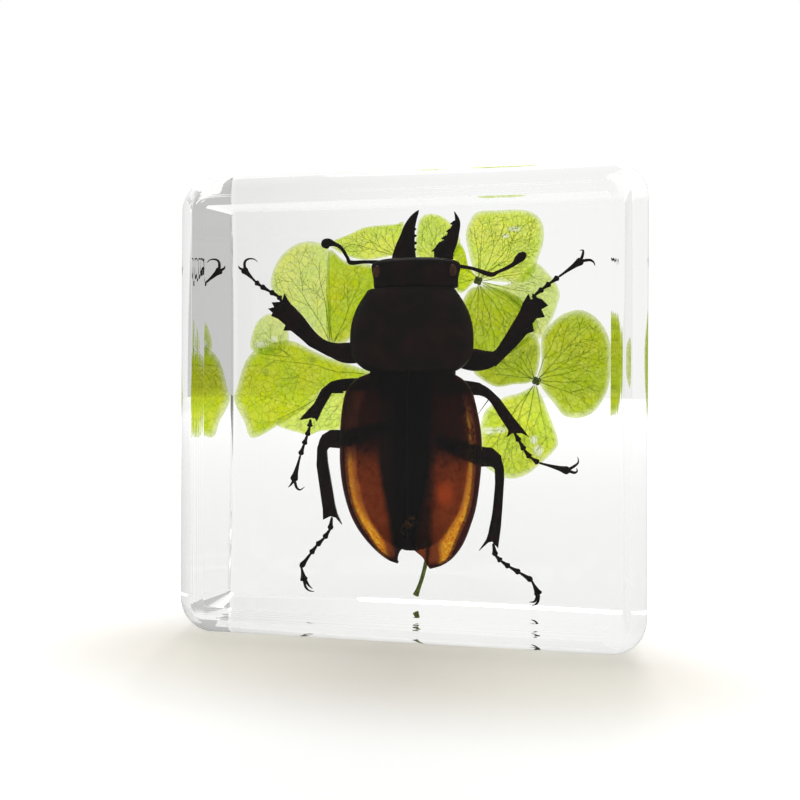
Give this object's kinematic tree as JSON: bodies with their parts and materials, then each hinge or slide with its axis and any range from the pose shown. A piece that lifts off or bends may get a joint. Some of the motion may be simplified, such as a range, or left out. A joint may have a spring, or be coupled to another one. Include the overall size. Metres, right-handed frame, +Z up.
{
  "type": "insect in resin block",
  "caption": "Stag beetle with pressed green floret petals sealed in a clear square resin block, as a desk display or study specimen.",
  "frame": {"origin": "centre of the block's footprint, on the surface it stands on", "axes": "+Z up along the beetle from tail to head, +Y from the domed front side through the block to its flat back, +X to the viewer's right"},
  "size_m": [0.038, 0.015, 0.038],
  "materials": {
    "resin": "clear cast resin, polished, index 1.5",
    "shell": "near-black chitin, satin gloss",
    "wing_case": "red-brown chitin, thin and lightly see-through at the margins",
    "petal": "pressed dry petal, yellow-green, thin, veined",
    "floret_centre": "dry plant tissue",
    "stem": "dry plant stem"
  },
  "bodies": {
    "root": {"resin_front": "resin", "resin_back": "resin", "stem": "stem", "head": "shell", "pronotum": "shell", "underside": "shell", "mandible_left": "shell", "mandible_right": "shell", "antenna_left": "shell", "antenna_right": "shell", "leg_front_left": "shell", "leg_front_right": "shell", "leg_middle_left": "shell", "leg_middle_right": "shell", "leg_hind_left": "shell", "leg_hind_right": "shell", "elytron_left": "wing_case", "elytron_right": "wing_case", "petal_left_upper": "petal", "petal_left_inner": "petal", "petal_left_top": "petal", "petal_left_side": "petal", "petal_left_pale": "petal", "petal_left_lower": "petal", "petal_middle_top": "petal", "petal_a_upper": "petal", "petal_a_right": "petal", "petal_a_lower": "petal", "petal_a_inner": "petal", "petal_b_right": "petal", "petal_b_lower": "petal", "petal_b_left": "petal", "floret_centre_a": "floret_centre", "floret_centre_b": "floret_centre"}
  },
  "joints": []
}
